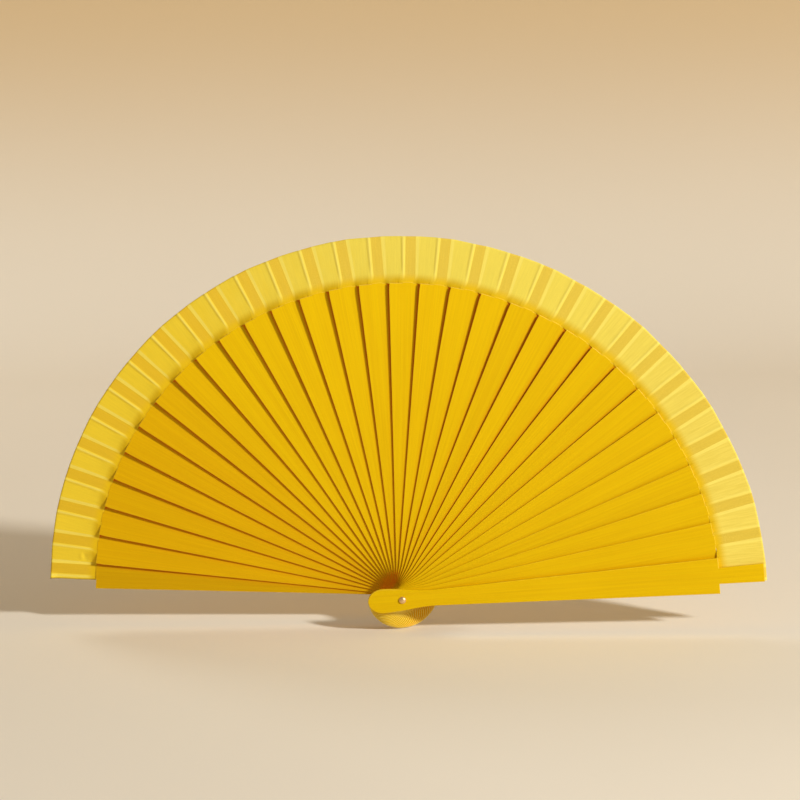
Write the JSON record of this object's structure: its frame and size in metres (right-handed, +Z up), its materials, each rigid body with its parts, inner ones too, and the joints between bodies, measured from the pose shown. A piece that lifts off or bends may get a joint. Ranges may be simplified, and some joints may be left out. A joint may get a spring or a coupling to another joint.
{
  "type": "folding hand fan",
  "caption": "Folding hand fan with painted wooden sticks turning on one rivet and a narrow pleated fabric leaf around the rim.",
  "frame": {"origin": "on the rivet's axis, at the flat back of the rivet's tail", "axes": "+X along the open fan to its right-hand end, +Y out of the back of the fan along the rivet, +Z up through the middle of the open leaf"},
  "size_m": [0.4228, 0.0341, 0.2318],
  "materials": {
    "guard_wood": "satin painted wood with faint lengthwise grain",
    "rib_wood": "satin painted wood with faint lengthwise grain",
    "leaf_fabric": "thin translucent woven fabric, lightly glazed where it is glued",
    "rivet_metal": "dull polished"
  },
  "bodies": {
    "back_guard": {"back_guard": "guard_wood", "leaf": "leaf_fabric", "rivet": "rivet_metal", "rear_washer": "rivet_metal"},
    "front_guard": {"front_guard": "guard_wood"},
    "rib_01": {"rib_01": "rib_wood"},
    "rib_02": {"rib_02": "rib_wood"},
    "rib_03": {"rib_03": "rib_wood"},
    "rib_04": {"rib_04": "rib_wood"},
    "rib_05": {"rib_05": "rib_wood"},
    "rib_06": {"rib_06": "rib_wood"},
    "rib_07": {"rib_07": "rib_wood"},
    "rib_08": {"rib_08": "rib_wood"},
    "rib_09": {"rib_09": "rib_wood"},
    "rib_10": {"rib_10": "rib_wood"},
    "rib_11": {"rib_11": "rib_wood"},
    "rib_12": {"rib_12": "rib_wood"},
    "rib_13": {"rib_13": "rib_wood"},
    "rib_14": {"rib_14": "rib_wood"},
    "rib_15": {"rib_15": "rib_wood"},
    "rib_16": {"rib_16": "rib_wood"},
    "rib_17": {"rib_17": "rib_wood"},
    "rib_18": {"rib_18": "rib_wood"},
    "rib_19": {"rib_19": "rib_wood"},
    "rib_20": {"rib_20": "rib_wood"},
    "rib_21": {"rib_21": "rib_wood"},
    "rib_22": {"rib_22": "rib_wood"},
    "rib_23": {"rib_23": "rib_wood"},
    "rib_24": {"rib_24": "rib_wood"},
    "rib_25": {"rib_25": "rib_wood"},
    "rib_26": {"rib_26": "rib_wood"},
    "rib_27": {"rib_27": "rib_wood"},
    "rib_28": {"rib_28": "rib_wood"},
    "rib_29": {"rib_29": "rib_wood"},
    "rib_30": {"rib_30": "rib_wood"}
  },
  "joints": [
    {"name": "fan_fold", "type": "hinge", "parent": "back_guard", "child": "front_guard", "pos_m": [0, -0.031, 0], "axis": [0, -1, 0], "range_deg": [0, 172.15], "deforming": ["leaf"]},
    {"name": "rib_01_turn", "type": "hinge", "parent": "back_guard", "child": "rib_01", "pos_m": [0, -0.015, 0], "axis": [0, -1, 0], "range_deg": [0, 165.7]},
    {"name": "rib_02_turn", "type": "hinge", "parent": "back_guard", "child": "rib_02", "pos_m": [0, -0.015, 0], "axis": [0, -1, 0], "range_deg": [0, 160.15]},
    {"name": "rib_03_turn", "type": "hinge", "parent": "back_guard", "child": "rib_03", "pos_m": [0, -0.015, 0], "axis": [0, -1, 0], "range_deg": [0, 154.6]},
    {"name": "rib_04_turn", "type": "hinge", "parent": "back_guard", "child": "rib_04", "pos_m": [0, -0.015, 0], "axis": [0, -1, 0], "range_deg": [0, 149.05]},
    {"name": "rib_05_turn", "type": "hinge", "parent": "back_guard", "child": "rib_05", "pos_m": [0, -0.015, 0], "axis": [0, -1, 0], "range_deg": [0, 143.5]},
    {"name": "rib_06_turn", "type": "hinge", "parent": "back_guard", "child": "rib_06", "pos_m": [0, -0.015, 0], "axis": [0, -1, 0], "range_deg": [0, 137.95]},
    {"name": "rib_07_turn", "type": "hinge", "parent": "back_guard", "child": "rib_07", "pos_m": [0, -0.015, 0], "axis": [0, -1, 0], "range_deg": [0, 132.4]},
    {"name": "rib_08_turn", "type": "hinge", "parent": "back_guard", "child": "rib_08", "pos_m": [0, -0.015, 0], "axis": [0, -1, 0], "range_deg": [0, 126.85]},
    {"name": "rib_09_turn", "type": "hinge", "parent": "back_guard", "child": "rib_09", "pos_m": [0, -0.015, 0], "axis": [0, -1, 0], "range_deg": [0, 121.3]},
    {"name": "rib_10_turn", "type": "hinge", "parent": "back_guard", "child": "rib_10", "pos_m": [0, -0.015, 0], "axis": [0, -1, 0], "range_deg": [0, 115.75]},
    {"name": "rib_11_turn", "type": "hinge", "parent": "back_guard", "child": "rib_11", "pos_m": [0, -0.015, 0], "axis": [0, -1, 0], "range_deg": [0, 110.2]},
    {"name": "rib_12_turn", "type": "hinge", "parent": "back_guard", "child": "rib_12", "pos_m": [0, -0.015, 0], "axis": [0, -1, 0], "range_deg": [0, 104.65]},
    {"name": "rib_13_turn", "type": "hinge", "parent": "back_guard", "child": "rib_13", "pos_m": [0, -0.015, 0], "axis": [0, -1, 0], "range_deg": [0, 99.1]},
    {"name": "rib_14_turn", "type": "hinge", "parent": "back_guard", "child": "rib_14", "pos_m": [0, -0.015, 0], "axis": [0, -1, 0], "range_deg": [0, 93.55]},
    {"name": "rib_15_turn", "type": "hinge", "parent": "back_guard", "child": "rib_15", "pos_m": [0, -0.015, 0], "axis": [0, -1, 0], "range_deg": [0, 88]},
    {"name": "rib_16_turn", "type": "hinge", "parent": "back_guard", "child": "rib_16", "pos_m": [0, -0.015, 0], "axis": [0, -1, 0], "range_deg": [0, 82.45]},
    {"name": "rib_17_turn", "type": "hinge", "parent": "back_guard", "child": "rib_17", "pos_m": [0, -0.015, 0], "axis": [0, -1, 0], "range_deg": [0, 76.9]},
    {"name": "rib_18_turn", "type": "hinge", "parent": "back_guard", "child": "rib_18", "pos_m": [0, -0.015, 0], "axis": [0, -1, 0], "range_deg": [0, 71.35]},
    {"name": "rib_19_turn", "type": "hinge", "parent": "back_guard", "child": "rib_19", "pos_m": [0, -0.015, 0], "axis": [0, -1, 0], "range_deg": [0, 65.8]},
    {"name": "rib_20_turn", "type": "hinge", "parent": "back_guard", "child": "rib_20", "pos_m": [0, -0.015, 0], "axis": [0, -1, 0], "range_deg": [0, 60.25]},
    {"name": "rib_21_turn", "type": "hinge", "parent": "back_guard", "child": "rib_21", "pos_m": [0, -0.015, 0], "axis": [0, -1, 0], "range_deg": [0, 54.7]},
    {"name": "rib_22_turn", "type": "hinge", "parent": "back_guard", "child": "rib_22", "pos_m": [0, -0.015, 0], "axis": [0, -1, 0], "range_deg": [0, 49.15]},
    {"name": "rib_23_turn", "type": "hinge", "parent": "back_guard", "child": "rib_23", "pos_m": [0, -0.015, 0], "axis": [0, -1, 0], "range_deg": [0, 43.6]},
    {"name": "rib_24_turn", "type": "hinge", "parent": "back_guard", "child": "rib_24", "pos_m": [0, -0.015, 0], "axis": [0, -1, 0], "range_deg": [0, 38.05]},
    {"name": "rib_25_turn", "type": "hinge", "parent": "back_guard", "child": "rib_25", "pos_m": [0, -0.015, 0], "axis": [0, -1, 0], "range_deg": [0, 32.5]},
    {"name": "rib_26_turn", "type": "hinge", "parent": "back_guard", "child": "rib_26", "pos_m": [0, -0.015, 0], "axis": [0, -1, 0], "range_deg": [0, 26.95]},
    {"name": "rib_27_turn", "type": "hinge", "parent": "back_guard", "child": "rib_27", "pos_m": [0, -0.015, 0], "axis": [0, -1, 0], "range_deg": [0, 21.4]},
    {"name": "rib_28_turn", "type": "hinge", "parent": "back_guard", "child": "rib_28", "pos_m": [0, -0.015, 0], "axis": [0, -1, 0], "range_deg": [0, 15.85]},
    {"name": "rib_29_turn", "type": "hinge", "parent": "back_guard", "child": "rib_29", "pos_m": [0, -0.015, 0], "axis": [0, -1, 0], "range_deg": [0, 10.3]},
    {"name": "rib_30_turn", "type": "hinge", "parent": "back_guard", "child": "rib_30", "pos_m": [0, -0.015, 0], "axis": [0, -1, 0], "range_deg": [0, 4.75]}
  ],
  "couplings": [
    {"joint": "rib_01_turn", "follows": "fan_fold", "ratio": 0.96253},
    {"joint": "rib_02_turn", "follows": "fan_fold", "ratio": 0.93029},
    {"joint": "rib_03_turn", "follows": "fan_fold", "ratio": 0.89805},
    {"joint": "rib_04_turn", "follows": "fan_fold", "ratio": 0.86581},
    {"joint": "rib_05_turn", "follows": "fan_fold", "ratio": 0.83358},
    {"joint": "rib_06_turn", "follows": "fan_fold", "ratio": 0.80134},
    {"joint": "rib_07_turn", "follows": "fan_fold", "ratio": 0.7691},
    {"joint": "rib_08_turn", "follows": "fan_fold", "ratio": 0.73686},
    {"joint": "rib_09_turn", "follows": "fan_fold", "ratio": 0.70462},
    {"joint": "rib_10_turn", "follows": "fan_fold", "ratio": 0.67238},
    {"joint": "rib_11_turn", "follows": "fan_fold", "ratio": 0.64014},
    {"joint": "rib_12_turn", "follows": "fan_fold", "ratio": 0.6079},
    {"joint": "rib_13_turn", "follows": "fan_fold", "ratio": 0.57566},
    {"joint": "rib_14_turn", "follows": "fan_fold", "ratio": 0.54342},
    {"joint": "rib_15_turn", "follows": "fan_fold", "ratio": 0.51118},
    {"joint": "rib_16_turn", "follows": "fan_fold", "ratio": 0.47894},
    {"joint": "rib_17_turn", "follows": "fan_fold", "ratio": 0.4467},
    {"joint": "rib_18_turn", "follows": "fan_fold", "ratio": 0.41446},
    {"joint": "rib_19_turn", "follows": "fan_fold", "ratio": 0.38222},
    {"joint": "rib_20_turn", "follows": "fan_fold", "ratio": 0.34999},
    {"joint": "rib_21_turn", "follows": "fan_fold", "ratio": 0.31775},
    {"joint": "rib_22_turn", "follows": "fan_fold", "ratio": 0.28551},
    {"joint": "rib_23_turn", "follows": "fan_fold", "ratio": 0.25327},
    {"joint": "rib_24_turn", "follows": "fan_fold", "ratio": 0.22103},
    {"joint": "rib_25_turn", "follows": "fan_fold", "ratio": 0.18879},
    {"joint": "rib_26_turn", "follows": "fan_fold", "ratio": 0.15655},
    {"joint": "rib_27_turn", "follows": "fan_fold", "ratio": 0.12431},
    {"joint": "rib_28_turn", "follows": "fan_fold", "ratio": 0.092071},
    {"joint": "rib_29_turn", "follows": "fan_fold", "ratio": 0.059832},
    {"joint": "rib_30_turn", "follows": "fan_fold", "ratio": 0.027592}
  ]
}
